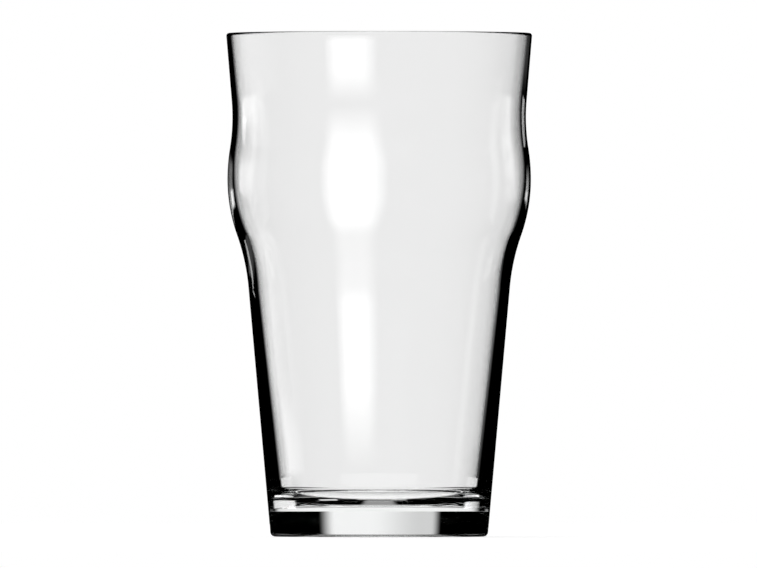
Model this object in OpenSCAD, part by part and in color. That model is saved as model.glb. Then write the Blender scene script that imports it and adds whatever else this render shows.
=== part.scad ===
// Bulged pint glass: one piece of clear glass, turned about the Z axis.
// The origin is on the axis, on the surface that the foot ring stands on.

/* [Overall] */
// Height from the resting surface to the top of the rim
glass_h = 148; // [136:0.5:170]
// Outer diameter of the flared rim, at its corner before rounding
rim_d = 90; // [82:0.2:104]
// Outer diameter of the foot, at its corner before rounding
foot_d = 63.8; // [56:0.2:72]

/* [Waist and bulge] */
// Height from the rim down to the waist
waist_drop = 24.7; // [18:0.1:34]
// How far the waist lies inside the rim, on the radius
waist_in = 1.85; // [1:0.05:4]
// Height from the waist down to the crown of the bulge
bulge_drop = 18.3; // [12:0.1:26]
// How far the crown of the bulge stands out from the waist, on the radius
bulge_out = 1.45; // [0.8:0.05:3]
// Radius of the outline just below the crown of the bulge
bulge_arc_r = 49; // [30:1:70]
// How far the line of the lower wall lies inside the crown, on the radius
shoulder_in = 3.35; // [2:0.05:6]
// Radius of the hollow curve where the shoulder runs into the lower wall
shoulder_arc_r = 63; // [35:1:90]

/* [Glass thickness] */
// Wall thickness at the rim, measured level
rim_wall = 1.6; // [1.1:0.05:2.6]
// Wall thickness at the floor, measured level
floor_wall = 4.95; // [3:0.05:7]
// Thickness of the solid base, from the resting surface to the floor
base_t = 9; // [5:0.1:18]

/* [Rounded edges and foot] */
// Radius between the wall and the floor, inside
floor_round_r = 7; // [2:0.25:10]
// Radius of the heel, around the outside of the foot
heel_r = 1.4; // [0.8:0.1:4]
// Width of the flat ring that the glass stands on
ring_w = 5; // [2:0.25:9]
// Height of the shallow hollow under the base, at its middle
hollow_h = 0.9; // [0.3:0.1:3]

/* [Hidden] */

// Look of the glass
glass_colour = [0.86, 0.92, 0.93, 0.45];

// Largest turn between neighbouring points of a long wall curve, in degrees
wall_step = 1;
// Largest turn between neighbouring points of the round inside, in degrees
round_step = 2;
// Largest turn between neighbouring points of a small rounded edge, in degrees
edge_step = 6;
// Fewest straight steps in any curve
min_steps = 4;
// Facets around the axis
turn_facets = 180;

// Radii and heights of the outline's main points
rim_r = rim_d / 2;
foot_r = foot_d / 2;
waist_r = rim_r - waist_in;
waist_z = glass_h - waist_drop;
bulge_r = waist_r + bulge_out;
bulge_z = waist_z - bulge_drop;

// The waist and the upper half of the bulge are two equal arcs that meet halfway between them
swing_r = (pow(bulge_out, 2) + pow(bulge_drop, 2)) / (4 * bulge_out);
swing_a = asin(bulge_drop / 2 / swing_r);
waist_centre = [waist_r + swing_r, waist_z];
upper_bulge_centre = [bulge_r - swing_r, bulge_z];

// The flare is the straight line from the rim corner that touches the waist arc
rim_from_waist = [rim_r, glass_h] - waist_centre;
flare_a = atan2(rim_from_waist[1], rim_from_waist[0]) + acos(swing_r / norm(rim_from_waist));
flare_tilt = 180 - flare_a;

// The lower wall is a straight line from the foot corner up towards the bulge
lower_tilt = atan2(bulge_r - shoulder_in - foot_r, bulge_z);
lower_up = [sin(lower_tilt), cos(lower_tilt)];
lower_out = [cos(lower_tilt), -sin(lower_tilt)];
foot_corner = [foot_r, 0];

// The shoulder arc touches the lower wall and the arc below the bulge's crown
lower_bulge_centre = [bulge_r - bulge_arc_r, bulge_z];
bulge_along = (lower_bulge_centre - foot_corner) * lower_up;
bulge_beside = (lower_bulge_centre - foot_corner) * lower_out;
centre_gap = shoulder_arc_r + bulge_arc_r;
shoulder_along = bulge_along - sqrt(pow(centre_gap, 2) - pow(shoulder_arc_r - bulge_beside, 2));
shoulder_centre = foot_corner + shoulder_along * lower_up + shoulder_arc_r * lower_out;
bulge_from_shoulder = lower_bulge_centre - shoulder_centre;
shoulder_a = atan2(bulge_from_shoulder[1], bulge_from_shoulder[0]);

// The wall thickens evenly from the rim down to the floor
wall_gain = (floor_wall - rim_wall) / (glass_h - base_t);
function wall_at(z) = rim_wall + wall_gain * (glass_h - z);
function inner_tilt(outer_tilt) = atan(tan(outer_tilt) + wall_gain);

// The lip is one round that touches the outer and inner lines of the flare
lip_inner_tilt = inner_tilt(flare_tilt);
lip_spread = 1 / cos(flare_tilt) + 1 / cos(lip_inner_tilt) - wall_gain;
lip_r = rim_wall / lip_spread;
lip_centre = [rim_r - lip_r * (tan(flare_tilt) + 1 / cos(flare_tilt)), glass_h - lip_r];

// The heel touches the lower wall and the resting surface
heel_centre = [foot_r + heel_r * (tan(lower_tilt) - 1 / cos(lower_tilt)), heel_r];

// The round inside touches the inner line of the lower wall and the floor
floor_tilt = inner_tilt(lower_tilt);
round_z = base_t + floor_round_r;
round_wall_r = foot_r + round_z * tan(lower_tilt) - wall_at(round_z);
round_centre = [round_wall_r - floor_round_r / cos(floor_tilt), round_z];

// The hollow under the base is part of a sphere that ends at the foot ring
ring_in_r = heel_centre[0] - ring_w;
hollow_r = (pow(ring_in_r, 2) + pow(hollow_h, 2)) / (2 * hollow_h);
hollow_centre = [0, hollow_h - hollow_r];
hollow_a = asin(ring_in_r / hollow_r);

// Points of an arc from one angle to another, no further apart than the given turn
function arc(centre, radius, from, to, step) =
    let (steps = max(min_steps, ceil(abs(to - from) / step)))
    [for (i = [0:steps])
        let (a = from + (to - from) * i / steps)
        centre + radius * [cos(a), sin(a)]];

// A list without its first point, where that point repeats the end of the arc before
function after_first(points) = [for (i = [1:len(points) - 1]) points[i]];

// Outer wall curves, from the top of the lower wall to the bottom of the flare
shoulder_curve = arc(shoulder_centre, shoulder_arc_r, 180 - lower_tilt, shoulder_a, wall_step);
lower_bulge_curve = arc(lower_bulge_centre, bulge_arc_r, shoulder_a - 180, 0, wall_step);
upper_bulge_curve = arc(upper_bulge_centre, swing_r, 0, swing_a, wall_step);
waist_curve = arc(waist_centre, swing_r, 180 + swing_a, flare_a, wall_step);
outer_curves = concat(
    shoulder_curve,
    after_first(lower_bulge_curve),
    after_first(upper_bulge_curve),
    after_first(waist_curve));

// Inner wall curves, back down from the flare to the lower wall
inner_curves = [for (i = [len(outer_curves) - 1:-1:0])
    outer_curves[i] - [wall_at(outer_curves[i][1]), 0]];

// Half section of the glass: under the base, up the outside, over the lip and down the inside
hollow_curve = arc(hollow_centre, hollow_r, 90, 90 - hollow_a, wall_step);
heel_curve = arc(heel_centre, heel_r, -90, -lower_tilt, edge_step);
lip_curve = arc(lip_centre, lip_r, -flare_tilt, 180 - lip_inner_tilt, edge_step);
floor_curve = arc(round_centre, floor_round_r, -floor_tilt, -90, round_step);
half_section = concat(
    hollow_curve,
    heel_curve,
    outer_curves,
    lip_curve,
    inner_curves,
    floor_curve,
    [[0, base_t]]);

module glass_body() {
    color(glass_colour)
        rotate_extrude($fn = turn_facets)
            polygon(half_section);
}

glass_body();
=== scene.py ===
import math

import bmesh
import bpy
from mathutils import Matrix, Vector


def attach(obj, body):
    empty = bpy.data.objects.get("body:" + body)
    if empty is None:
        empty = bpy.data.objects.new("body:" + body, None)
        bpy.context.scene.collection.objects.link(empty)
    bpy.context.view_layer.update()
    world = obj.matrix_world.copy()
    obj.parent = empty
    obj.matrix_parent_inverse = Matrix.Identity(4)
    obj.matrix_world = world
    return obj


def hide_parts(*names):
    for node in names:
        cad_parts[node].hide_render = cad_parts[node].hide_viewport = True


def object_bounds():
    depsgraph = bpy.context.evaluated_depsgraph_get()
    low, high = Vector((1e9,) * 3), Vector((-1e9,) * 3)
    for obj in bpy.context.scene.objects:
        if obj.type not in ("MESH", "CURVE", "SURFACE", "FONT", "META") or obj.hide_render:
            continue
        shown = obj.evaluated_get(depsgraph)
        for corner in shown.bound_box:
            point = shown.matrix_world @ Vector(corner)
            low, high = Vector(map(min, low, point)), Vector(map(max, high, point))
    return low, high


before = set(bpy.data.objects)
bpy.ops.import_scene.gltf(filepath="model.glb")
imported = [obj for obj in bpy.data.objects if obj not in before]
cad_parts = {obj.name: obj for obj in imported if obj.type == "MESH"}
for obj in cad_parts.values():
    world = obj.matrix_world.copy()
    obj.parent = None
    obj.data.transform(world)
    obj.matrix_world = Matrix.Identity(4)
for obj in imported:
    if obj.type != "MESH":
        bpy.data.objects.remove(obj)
cad_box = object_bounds()

MM = 0.001
DEGREE = math.pi / 180
WHITE = (1.0, 1.0, 1.0, 1.0)
ORIGIN = (0.0, 0.0, 0.0)
UP = (0.0, 0.0, 1.0)

# Photograph: its frame in pixels, and where the glass stands in it
PHOTO_W = 757
PHOTO_H = 568
PHOTO_AXIS_X = 379.2
PHOTO_RIM_Y = 33.0
PHOTO_FOOT_Y = 536.5

# Camera: a very long lens, a third of the way up the glass
LENS_MM = 1200.0
SENSOR_MM = 36.0
CAMERA_Z = 50 * MM
CLIP_NEAR = 0.1
CLIP_FAR = 50.0

# Turning of the glass: points closer than WELD are one, and long edges get a
# support ring near both ends, which keeps their shading straight
WELD = 0.001 * MM
TURN_STEPS = 256
LONG_EDGE = 1.6 * MM
SUPPORT_GAP = 0.3 * MM

# Clear soda-lime glass: faint waves from the mould, and a worn foot ring with fine scratches
GLASS_IOR = 1.52
GLASS_TINT = (0.84, 0.86, 0.855, 1.0)
GLASS_DENSITY = 9.0
WAVE_SCALE = 60.0
WAVE_DETAIL = 1.0
WAVE_DEPTH = 0.015 * MM
WORN_Z = 0.02 * MM
WORN_ROUGHNESS = 0.16
SCRATCH_SCALE = 1800.0
SCRATCH_RAMP = (0.35, 0.65)

# Light turns many times inside the thick base
MOST_BOUNCES = 32


class Value:
    """A number on a socket of a node tree. Arithmetic on it adds Math nodes."""

    def __init__(self, tree, socket):
        self.tree = tree
        self.socket = socket

    def _math(self, operation, first, second=0.0):
        maths = self.tree.add("ShaderNodeMath", {"operation": operation}, {0: first, 1: second})
        return Value(self.tree, maths.outputs[0])

    def __add__(self, other):
        return self._math("ADD", self, other)

    __radd__ = __add__

    def __sub__(self, other):
        return self._math("SUBTRACT", self, other)

    def __rsub__(self, other):
        return self._math("SUBTRACT", other, self)

    def __mul__(self, other):
        return self._math("MULTIPLY", self, other)

    __rmul__ = __mul__

    def __truediv__(self, other):
        return self._math("DIVIDE", self, other)

    def __abs__(self):
        return self._math("ABSOLUTE", self)

    def at_most(self, limit):
        return self._math("MINIMUM", self, limit)

    def at_least(self, limit):
        return self._math("MAXIMUM", self, limit)

    def share(self):
        """Kept between 0 and 1."""
        return self.at_most(1.0).at_least(0.0)

    def root(self):
        return self._math("SQRT", self)

    def bearing(self, ahead):
        """The angle from the ahead axis towards this one."""
        return self._math("ARCTAN2", self, ahead)

    def fold(self, size):
        """Runs from 0 up to size and back, over and over."""
        return self._math("PINGPONG", self, size)

    def step(self, start, end):
        """0 up to start, 1 from end, and a smooth ramp between them."""
        ramp = self.tree.add(
            "ShaderNodeMapRange",
            {"interpolation_type": "SMOOTHSTEP"},
            {"Value": self, "From Min": start, "From Max": end, "To Min": 0.0, "To Max": 1.0},
        )
        return Value(self.tree, ramp.outputs[0])

    def window(self, start, end, soft):
        """1 from start to end, with a smooth ramp of width soft outside each."""
        return self.step(start - soft, start) * (1 - self.step(end, end + soft))


class Tree:
    """The nodes of one material or world."""

    def __init__(self, owner):
        owner.use_nodes = True
        self.nodes = owner.node_tree.nodes
        self.links = owner.node_tree.links
        self.nodes.clear()

    def add(self, kind, settings=None, sockets=None):
        node = self.nodes.new(kind)
        for name, setting in (settings or {}).items():
            setattr(node, name, setting)
        for name, value in (sockets or {}).items():
            if isinstance(value, Value):
                self.links.new(value.socket, node.inputs[name])
            elif isinstance(value, bpy.types.NodeSocket):
                self.links.new(value, node.inputs[name])
            else:
                node.inputs[name].default_value = value
        return node

    def value(self, node, output):
        return Value(self, node.outputs[output])

    def axes(self, coordinates):
        """X, Y and Z of one of the Texture Coordinate node's outputs."""
        place = self.add("ShaderNodeTexCoord")
        split = self.add("ShaderNodeSeparateXYZ", None, {0: place.outputs[coordinates]})
        return [self.value(split, axis) for axis in "XYZ"]


def clear_glass():
    """Smooth clear glass, a little absorbing, and rough only where the foot ring is worn."""
    material = bpy.data.materials.new("clear_glass")
    tree = Tree(material)
    place = tree.add("ShaderNodeTexCoord").outputs["Object"]
    height = tree.axes("Object")[2]
    waves = tree.add(
        "ShaderNodeTexNoise",
        None,
        {"Vector": place, "Scale": WAVE_SCALE, "Detail": WAVE_DETAIL},
    )
    bump = tree.add(
        "ShaderNodeBump", None, {"Distance": WAVE_DEPTH, "Height": tree.value(waves, 0)}
    )
    noise = tree.add("ShaderNodeTexNoise", None, {"Vector": place, "Scale": SCRATCH_SCALE})
    scratches = tree.value(noise, 0).step(*SCRATCH_RAMP)
    worn = (1 - height.step(WORN_Z, 2 * WORN_Z)) * scratches
    surface = tree.add(
        "ShaderNodeBsdfPrincipled",
        None,
        {
            "Base Color": WHITE, "Roughness": WORN_ROUGHNESS * worn, "IOR": GLASS_IOR,
            "Transmission Weight": 1.0, "Normal": bump.outputs[0],
        },
    )
    inside = tree.add(
        "ShaderNodeVolumeAbsorption", None, {"Color": GLASS_TINT, "Density": GLASS_DENSITY}
    )
    tree.add(
        "ShaderNodeOutputMaterial",
        None,
        {"Surface": surface.outputs[0], "Volume": inside.outputs[0]},
    )
    return material


def new_piece(name, mesh, material):
    """An object at the origin, with its place in its mesh."""
    made = bpy.data.meshes.new(name)
    mesh.to_mesh(made)
    mesh.free()
    made.materials.append(material)
    piece = bpy.data.objects.new(name, made)
    bpy.context.scene.collection.objects.link(piece)
    return piece


def half_section(node):
    """The CAD node's outline on the XZ plane, on the +X side, as a chain of edges."""
    mesh = bmesh.new()
    mesh.from_mesh(node.data)
    bmesh.ops.remove_doubles(mesh, verts=mesh.verts, dist=WELD)
    bmesh.ops.bisect_plane(
        mesh, geom=mesh.verts[:] + mesh.edges[:] + mesh.faces[:], dist=WELD,
        plane_co=ORIGIN, plane_no=(0, 1, 0), clear_inner=True, clear_outer=True,
    )
    bmesh.ops.bisect_plane(
        mesh, geom=mesh.verts[:] + mesh.edges[:], dist=WELD,
        plane_co=ORIGIN, plane_no=(-1, 0, 0), clear_outer=True,
    )
    on_axis = [edge for edge in mesh.edges if all(abs(end.co.x) < WELD for end in edge.verts)]
    bmesh.ops.delete(mesh, geom=on_axis, context="EDGES_FACES")
    return mesh


def add_supports(mesh):
    """Splits each long edge of the section close to both of its ends."""
    for edge in [edge for edge in mesh.edges if edge.calc_length() > LONG_EDGE]:
        for end in list(edge.verts):
            bmesh.utils.edge_split(edge, end, SUPPORT_GAP / edge.calc_length())


def turned_glass(node):
    """The glass, turned finely about its axis from the CAD node's half section."""
    mesh = half_section(node)
    add_supports(mesh)
    bmesh.ops.spin(
        mesh, geom=mesh.verts[:] + mesh.edges[:], cent=ORIGIN, axis=UP,
        angle=2 * math.pi, steps=TURN_STEPS, use_merge=True,
    )
    bmesh.ops.remove_doubles(mesh, verts=mesh.verts, dist=WELD)
    bmesh.ops.recalc_face_normals(mesh, faces=mesh.faces)
    for face in mesh.faces:
        face.smooth = True
    return new_piece("pint_glass", mesh, clear_glass())


glass = turned_glass(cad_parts["glass_body"])
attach(glass, "root")
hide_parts("glass_body")


# Studio: straight views through the glass see white, most light that has turned inside it
# sees black, and cards put back the bright strips and soft edges that a glass shows. All of
# it is fixed in the room. Its numbers were set by tracing, for the photo's side.
BACKLIGHT = 1.0
BASE_PANEL = 1.06
BASE_PANEL_FALL = 0.32
FALL_BEARINGS = (-16 * DEGREE, 4 * DEGREE)
PANEL_HALF = 22.5 * DEGREE
PANEL_SOFT = 2.5 * DEGREE
RIGHT_PANEL_EDGE = (16.3 * DEGREE, 24.3 * DEGREE)
RIGHT_FROM = (-2 * DEGREE, 2 * DEGREE)
LOW_PANEL_HALF = 6 * DEGREE
LOW_PANEL_TOP = (7 * DEGREE, 8 * DEGREE)
HORIZON = 1.5 * DEGREE
HORIZON_SOFT = 1.5 * DEGREE
ROOM_LIGHT = 0.25
SPARKLE = 1.5


def exactly(turns, count):
    """1 for light that has turned back just count times inside the glass, 0 for the rest."""
    return 1 - abs(turns - count).at_most(1.0)


def unturned(turns):
    """1 for light that has not turned back inside the glass, 0 for the rest."""
    return 1 - turns.at_most(1.0)


def studio_world():
    """White for the camera, a dim room for matt surfaces, and panels for the glass."""
    world = bpy.data.worlds.new("studio")
    bpy.context.scene.world = world
    tree = Tree(world)
    path = tree.add("ShaderNodeLightPath")
    camera = tree.value(path, "Is Camera Ray")
    reflected = tree.value(path, "Is Reflection Ray")
    diffuse = tree.value(path, "Diffuse Depth").at_most(1.0)
    turns = tree.value(path, "Glossy Depth")
    across, ahead, rise = tree.axes("Generated")
    bearing = across.bearing(ahead)

    # White up to the horizon. Above it, a tall panel at both ends of the Y axis, softer on its
    # right edge, and a low one at both ends of the X axis
    to_ends = bearing.fold(math.pi / 2)
    to_sides = math.pi / 2 - to_ends
    left_edge = to_ends.step(PANEL_HALF - PANEL_SOFT, PANEL_HALF + PANEL_SOFT)
    right_edge = to_ends.step(*RIGHT_PANEL_EDGE)
    right = bearing.step(*RIGHT_FROM)
    end_panel = 1 - left_edge * (1 - right) - right_edge * right
    low_panel = 1 - to_sides.step(LOW_PANEL_HALF - PANEL_SOFT, LOW_PANEL_HALF + PANEL_SOFT)
    low_panel = low_panel * (1 - rise.step(*LOW_PANEL_TOP))
    fall = 1 - bearing.step(*FALL_BEARINGS)
    panel = end_panel * (BASE_PANEL - BASE_PANEL_FALL * fall) + low_panel
    above = rise.step(HORIZON, HORIZON + HORIZON_SOFT)
    straight = BACKLIGHT * (1 - above) + panel * above

    # Overhead: white for some of the light that has turned more than once inside the base.
    # Rise is the sine of the elevation, and aside is in degrees
    aside = abs(bearing) / DEGREE
    steep = rise.step(0.77, 0.81) * aside.step(80, 95)
    shallow = rise.window(0.14, 0.42, 0.03) * (1 - aside.step(60, 66))
    twice = exactly(turns, 2) * shallow.at_least(steep)
    four_times = exactly(turns, 4) * rise.step(0.59, 0.66)
    often = turns.window(5, 9, 0.5) * rise.step(0.46, 0.52) * (1 - aside.step(95, 105))
    sparkle = SPARKLE * (twice + four_times + often)

    seen = unturned(turns) * straight + (1 - reflected) * sparkle
    light = camera + (1 - camera) * (diffuse * ROOM_LIGHT + (1 - diffuse) * seen)
    backdrop = tree.add("ShaderNodeBackground", None, {"Color": WHITE, "Strength": light})
    tree.add("ShaderNodeOutputWorld", None, {"Surface": backdrop.outputs[0]})


def white_light(tree, strength):
    light = tree.add("ShaderNodeEmission", None, {"Color": WHITE, "Strength": strength})
    return light.outputs[0]


def mixed(tree, share, first, second):
    """The first shader, with the second over a share of it."""
    mix = tree.add("ShaderNodeMixShader", None, {0: share, 1: first, 2: second})
    return mix.outputs[0]


def cover(tree, shader):
    """Makes a shader the material's surface."""
    tree.add("ShaderNodeOutputMaterial", None, {"Surface": shader})


FLOOR_RADIUS = 0.6
FLOOR_SEGMENTS = 96
FLOOR_Z = -0.05 * MM
FLOOR_COLOUR = (0.8, 0.8, 0.8, 1.0)
FLOOR_GLOW = 0.7
UNDER_GLOW = 0.37


def pale_floor():
    """Pale and matt to the camera, and a pattern of light to what comes through the glass."""
    material = bpy.data.materials.new("pale_floor")
    tree = Tree(material)
    path = tree.add("ShaderNodeLightPath")
    camera = tree.value(path, "Is Camera Ray")
    turns = tree.value(path, "Glossy Depth")
    across, ahead, _ = tree.axes("Object")
    matt = tree.add("ShaderNodeBsdfDiffuse", None, {"Color": FLOOR_COLOUR})
    glow = white_light(tree, FLOOR_GLOW)
    lit = tree.add("ShaderNodeAddShader", None, {0: matt.outputs[0], 1: glow})

    # Out is in millimetres from the axis, and aside in degrees from the nearer end of the Y axis
    out = (across * across + ahead * ahead).root() / MM
    aside = across.bearing(abs(ahead)) / DEGREE

    # Straight through the base: brighter under it, and dim to both sides just outside it
    dim = 0.8 * out.window(43, 56, 4) * abs(aside).step(15, 35)
    straight = BACKLIGHT + UNDER_GLOW * (1 - out.step(28, 36)) - dim

    # Turned once inside the base: bright patches under its middle, its foot and just outside it
    middle = 0.33 * out.window(17, 26, 1) * (1 - abs(across / MM).step(3.5, 6))
    streaks = 0.75 * out.window(26.6, 28.5, 0.3) * aside.window(-48, -34, 2)
    streaks = streaks + 0.5 * out.window(26.6, 28.4, 0.3) * aside.window(10, 20, 2)
    rims = 0.45 * out.window(27.4, 28.4, 0.3) * aside.window(-16, 8, 2)
    rims = rims + 0.9 * out.window(35, 36.4, 0.3) * (1 - abs(aside).step(4, 5))
    core = 0.9 * (1 - out.step(15.5, 17))
    patches = (middle + streaks + rims + core).at_most(1.0)

    # Turned three times: bright under the middle and just outside. Seven times: all around
    ring = out.window(31, 36, 1) * (1 - abs(aside).step(25, 30))
    thrice = exactly(turns, 3) * (1 - out.step(8, 14)).at_least(ring)
    seven_times = exactly(turns, 7) * (1 - out.step(80, 100))

    bright = unturned(turns) * straight + exactly(turns, 1) * patches + thrice + seven_times
    cover(tree, mixed(tree, camera, white_light(tree, bright), lit.outputs[0]))
    return material


def floor_disc():
    mesh = bmesh.new()
    bmesh.ops.create_circle(
        mesh, cap_ends=True, segments=FLOOR_SEGMENTS, radius=FLOOR_RADIUS,
        matrix=Matrix.Translation((0, 0, FLOOR_Z)),
    )
    floor = new_piece("floor", mesh, pale_floor())
    floor.visible_glossy = False


CARD_STEP = 2 * DEGREE


def stage_card(name, mesh, material):
    """A card that only the glass sees."""
    card = new_piece(name, mesh, material)
    card.visible_camera = False
    card.visible_diffuse = False
    card.visible_shadow = False
    return card


def curved_card(name, radius, first, last, low, high, material):
    """An upright strip of a cylinder about the glass, between two bearings from +Y."""
    mesh = bmesh.new()
    start_x = radius * math.sin(first)
    start_y = radius * math.cos(first)
    ends = [mesh.verts.new((start_x, start_y, z)) for z in (low, high)]
    edge = mesh.edges.new(ends)
    bmesh.ops.spin(
        mesh, geom=ends + [edge], cent=ORIGIN, axis=UP, angle=first - last,
        steps=round((last - first) / CARD_STEP), use_merge=False,
    )
    return stage_card(name, mesh, material)


# Softbox in front, seen only in the outer surface
SOFTBOX_R = 65 * MM
SOFTBOX_BEARINGS = (174 * DEGREE, 214 * DEGREE)
SOFTBOX_HEIGHTS = (8 * MM, 147 * MM)
SOFTBOX_LIGHT = 4.9


def softbox_glow():
    """Bright strip with a dim gap at the waist and at the shoulder, wider at the bulge."""
    material = bpy.data.materials.new("softbox_glow")
    tree = Tree(material)
    across, ahead, height = tree.axes("Object")
    lean = across / ahead
    height = height / MM
    waist_gap = ((height - 124.2) / 9.0).at_least((124.3 - height) / 2.7)
    shoulder_gap = 0.38 + ((height - 69.8) / 18).at_least((69.8 - height) / 9.8)
    low_end = (height - 14.5) / 24
    high_end = (144.2 - height) / 2.1
    wide = height.step(66, 98) * (1 - height.step(112, 134))
    middle = 0.275 - 0.0225 * wide
    half = 0.125 + 0.0725 * wide
    beam = 1 - (abs(lean - middle) - half) / 0.14
    glow = waist_gap.at_most(shoulder_gap).at_most(low_end).at_most(high_end)
    cover(tree, white_light(tree, SOFTBOX_LIGHT * glow.share() * beam.share()))
    return material


def front_softbox():
    card = curved_card(
        "front_softbox", SOFTBOX_R, *SOFTBOX_BEARINGS, *SOFTBOX_HEIGHTS, softbox_glow()
    )
    card.visible_transmission = False


def clear_card(tree, share, strength=1.0):
    """White light over a share of a clear card."""
    clear = tree.add("ShaderNodeBsdfTransparent", None, {"Color": WHITE})
    cover(tree, mixed(tree, share, clear.outputs[0], white_light(tree, strength)))


# Low ring around the base that glows with painted white light in front, behind and at both sides
# of it, seen only by light that turned once inside the base
SKIRT_R = 50 * MM
SKIRT_Z = 13.6 * MM
SKIRT_FOOT = 0.3 * MM
SKIRT_LIGHT = 1.05


def base_skirt():
    paint = bpy.data.materials.new("skirt_painted_light")
    tree = Tree(paint)
    turns = tree.value(tree.add("ShaderNodeLightPath"), "Glossy Depth")
    across, ahead, height = tree.axes("Object")
    height = height / MM
    aside = across.bearing(ahead) / DEGREE
    to_ends = aside.fold(90.0)
    painted_light = (1 - (aside - 3).fold(90.0).step(15, 24)).at_least(to_ends.step(80, 84))
    wide = (1 - to_ends.step(29, 33)) * height.step(9.3, 9.9)
    painted_light = painted_light.at_least(wide) * height.step(6.8, 7.4)
    # Painted light low on the ring near both ends of the Y axis, which shows in the glass's heel
    heel = 0.6 * height.window(1.2, 6.4, 0.4) * (1 - to_ends.step(2.5, 4))
    clear_card(tree, exactly(turns, 1) * (painted_light + heel), SKIRT_LIGHT)
    card = curved_card("base_skirt", SKIRT_R, 0.0, 2 * math.pi, SKIRT_FOOT, SKIRT_Z, paint)
    card.visible_glossy = False


# Soft panels to the left and right, seen only in the outer surface. A glow function takes the
# bearing out from +Y to its own side, in degrees, and the height in millimetres
LEFT = -1
RIGHT = 1
SIDE_PANEL_R = 80 * MM
SIDE_PANEL_BEARINGS = (50 * DEGREE, 130 * DEGREE)
SIDE_PANEL_HEIGHTS = (1 * MM, 147 * MM)


def side_card(name, side, radius, bearings, heights, paint):
    """A curved card on one side, with its bearings counted out from +Y to that side."""
    first, last = sorted(side * bearing for bearing in bearings)
    return curved_card(name, radius, first, last, *heights, paint)


def side_panel(name, side, glow):
    paint = bpy.data.materials.new(name + "_glow")
    tree = Tree(paint)
    across, ahead, height = tree.axes("Object")
    strength = glow(side * across.bearing(ahead) / DEGREE, height / MM)
    cover(tree, white_light(tree, strength))
    card = side_card(name, side, SIDE_PANEL_R, SIDE_PANEL_BEARINGS, SIDE_PANEL_HEIGHTS, paint)
    card.visible_transmission = False


def left_panel_glow(out, height):
    """Bright beside the lower wall, the bulge and the waist, with a strip at the waist."""
    low = 1 - height.step(14, 48)
    bulge = height.step(91, 101)
    flare = height.step(124.5, 127)
    start = 79 - 5 * bulge - 4 * height.step(121, 123) - 4 * flare + 7 * low
    rise = (out - start) / (10 - 5 * bulge + 11 * flare)
    fall = (107 + 9 * low + 15 * flare - out) / (16 + 16 * flare)
    tail = (124 - out) / 100
    shape = rise.at_most(fall.at_least(tail)).share()
    level = 3.6 - 0.6 * height.step(23, 40) - 1.3 * height.step(60, 80) + 1.4 * height.step(89, 104)
    level = level - 1.7 * height.step(109, 121) + 2.1 * height.step(122.2, 124.2) - 1.3 * flare
    strip = 1.4 * out.window(74, 79, 2) * height.window(121.8, 123.4, 0.6)
    wall = shape * (level + strip) * height.step(9, 14)

    # Thin lights in the outline under the bulge and at the shoulder
    crown = 1.5 * out.window(57, 62, 3) * height.window(93.5, 99.5, 2)
    slant = height + 0.2 * out
    off_line = abs(out - 55 - 3 * (slant - 83.8))
    line = 0.25 * slant.window(84.4, 89, 1.2) * (1 - off_line.step(3, 10))

    # Small lamps close to the base
    tilted = height + 0.07 * out
    lamp = (0.28 * out - 14).at_least(0.0) * tilted.window(8.8, 10.6, 0.5) * out.window(64, 97, 6)
    lamp = lamp + 9 * tilted.window(11.9, 12.3, 0.15) * out.window(68, 96, 4)
    return wall + crown + line + lamp


def right_panel_glow(out, height):
    """Dim, with a brighter strip beside the bulge and the waist."""
    bulge = height.step(88, 96)
    flare = height.step(124.5, 127)
    rise = (out - 80 + 5 * bulge) / 9
    fall = (103 - out) / 13
    tail = 0.01 * (122 - out) * height.step(68, 74)
    shape = rise.at_most(fall.at_least(tail)).share()
    level = 0.9 + 0.3 * height.step(70, 90) + 0.8 * bulge - 1.25 * flare
    strip = 0.6 * out.window(84.5, 87.5, 2) * height.step(98, 106) * (1 - flare)
    wall = shape * (level + strip) * height.step(16, 24)

    # A thin light in the outline under the bulge, and small lamps close to the base
    crown = 0.9 * out.window(57, 61, 3) * height.window(96.5, 99, 1.5)
    tilted = height + 0.07 * out
    lamp = (0.6 * out - 43).at_least(0.0) * tilted.window(8.8, 10.2, 0.5) * out.window(76, 95, 5)
    lamp = lamp + 8 * tilted.window(12.0, 12.4, 0.15) * out.window(78, 98, 4)
    return wall + crown + lamp


def side_panels():
    side_panel("left_panel", LEFT, left_panel_glow)
    side_panel("right_panel", RIGHT, right_panel_glow)


# Upright cards behind, glowing with painted light that is seen through the thick edges of the
# wall. Their glow functions take the same two measures
EDGE_CARD_R = 150 * MM
EDGE_CARD_BEARINGS = (22 * DEGREE, 66 * DEGREE)
EDGE_CARD_HEIGHTS = (0.0, 140 * MM)


def edge_card(name, side, glow):
    """Painted white light behind the edge of the wall, for light that turned once inside the wall.
    """
    paint = bpy.data.materials.new(name + "_white")
    tree = Tree(paint)
    turns = tree.value(tree.add("ShaderNodeLightPath"), "Glossy Depth")
    across, ahead, height = tree.axes("Object")
    share = glow(side * across.bearing(ahead) / DEGREE, height / MM)
    clear_card(tree, exactly(turns, 1) * share)
    card = side_card(name, side, EDGE_CARD_R, EDGE_CARD_BEARINGS, EDGE_CARD_HEIGHTS, paint)
    card.visible_glossy = False


def inner_edge(out, height):
    """Soft strip that leans with the wall's inner edge."""
    return (out + 0.1 * height).window(62, 65, 9)


def left_edge_glow(out, height):
    """Soft inner edge all the way up, a bright bulge and a thin line at the shoulder."""
    level = 0.6 + 0.18 * height.step(0, 40) - 0.15 * height.step(80, 95)
    inner = inner_edge(out, height) * level
    bulge = height.step(85.5, 88) * (1 - height.step(103, 109)) * (1 - 0.62 * height.step(89, 98))
    bulge = bulge * (1 - out.step(35, 42))
    shoulder = 0.6 * (height + 0.53 * out).window(78.6, 79.1, 0.45) * out.window(34, 37, 2)
    return (inner + bulge + shoulder).at_most(1.0)


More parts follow.
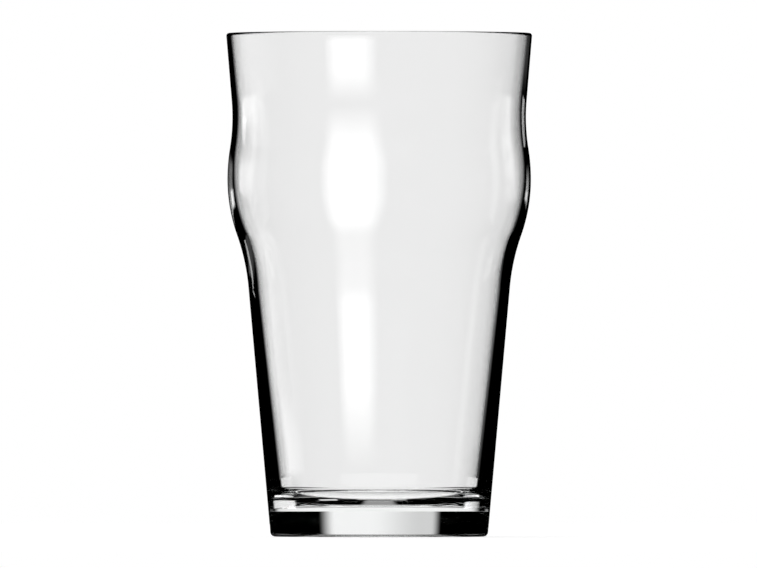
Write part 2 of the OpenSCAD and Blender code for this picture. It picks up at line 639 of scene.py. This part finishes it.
def right_edge_glow(out, height):
    """Soft inner edge that fades downwards, and dimmer spots at the bulge, waist and flare."""
    inner = inner_edge(out, height) * (0.15 + 0.32 * height.step(0, 80))
    bulge = 0.75 * height.step(86.5, 90) * (1 - height.step(94, 106)) * out.window(31.5, 37, 3.5)
    waist = 0.75 * height.window(116.3, 118.7, 1.2) * out.window(31, 37, 3)
    flare = 0.07 * height.step(118, 132) * out.window(34, 44, 5)
    return (inner + bulge + waist + flare).at_most(1.0)


def edge_cards():
    edge_card("left_edge_card", LEFT, left_edge_glow)
    edge_card("right_edge_card", RIGHT, right_edge_glow)


# Wide soft sun almost overhead, for the shadow on the floor; the glass doesn't show it
SUN_POWER = 0.7
SUN_SPREAD = 60 * DEGREE
SUN_TILT_X = -10 * DEGREE
SUN_TILT_Y = -8 * DEGREE


def sun_lamp():
    data = bpy.data.lights.new("soft_sun", "SUN")
    data.energy = SUN_POWER
    data.angle = SUN_SPREAD
    sun = bpy.data.objects.new("soft_sun", data)
    sun.matrix_world = Matrix.Rotation(SUN_TILT_X, 4, "X") @ Matrix.Rotation(SUN_TILT_Y, 4, "Y")
    sun.visible_glossy = False
    sun.visible_transmission = False
    bpy.context.scene.collection.objects.link(sun)


def long_camera():
    """Stands so far off that the glass has the photo's height and place in the picture."""
    low, high = cad_box
    metre_per_px = (high.z - low.z) / (PHOTO_FOOT_Y - PHOTO_RIM_Y)
    distance = PHOTO_W * metre_per_px * LENS_MM / SENSOR_MM
    middle_z = low.z + (PHOTO_FOOT_Y - PHOTO_H / 2) * metre_per_px
    side = (PHOTO_W / 2 - PHOTO_AXIS_X) * metre_per_px
    data = bpy.data.cameras.new("camera")
    data.lens = LENS_MM
    data.sensor_width = SENSOR_MM
    data.clip_start = CLIP_NEAR
    data.clip_end = CLIP_FAR
    camera = bpy.data.objects.new("camera", data)
    target = Vector((side, 0, middle_z))
    camera.location = (side, -distance, CAMERA_Z)
    camera.rotation_mode = "QUATERNION"
    camera.rotation_quaternion = (target - camera.location).to_track_quat("-Z", "Y")
    bpy.context.scene.collection.objects.link(camera)
    bpy.context.scene.camera = camera


studio_world()
floor_disc()
front_softbox()
base_skirt()
side_panels()
edge_cards()
sun_lamp()
long_camera()
bpy.context.scene.view_settings.view_transform = "Standard"
bpy.context.scene.cycles.max_bounces = MOST_BOUNCES
bpy.context.scene.cycles.glossy_bounces = MOST_BOUNCES
bpy.context.scene.cycles.transmission_bounces = MOST_BOUNCES
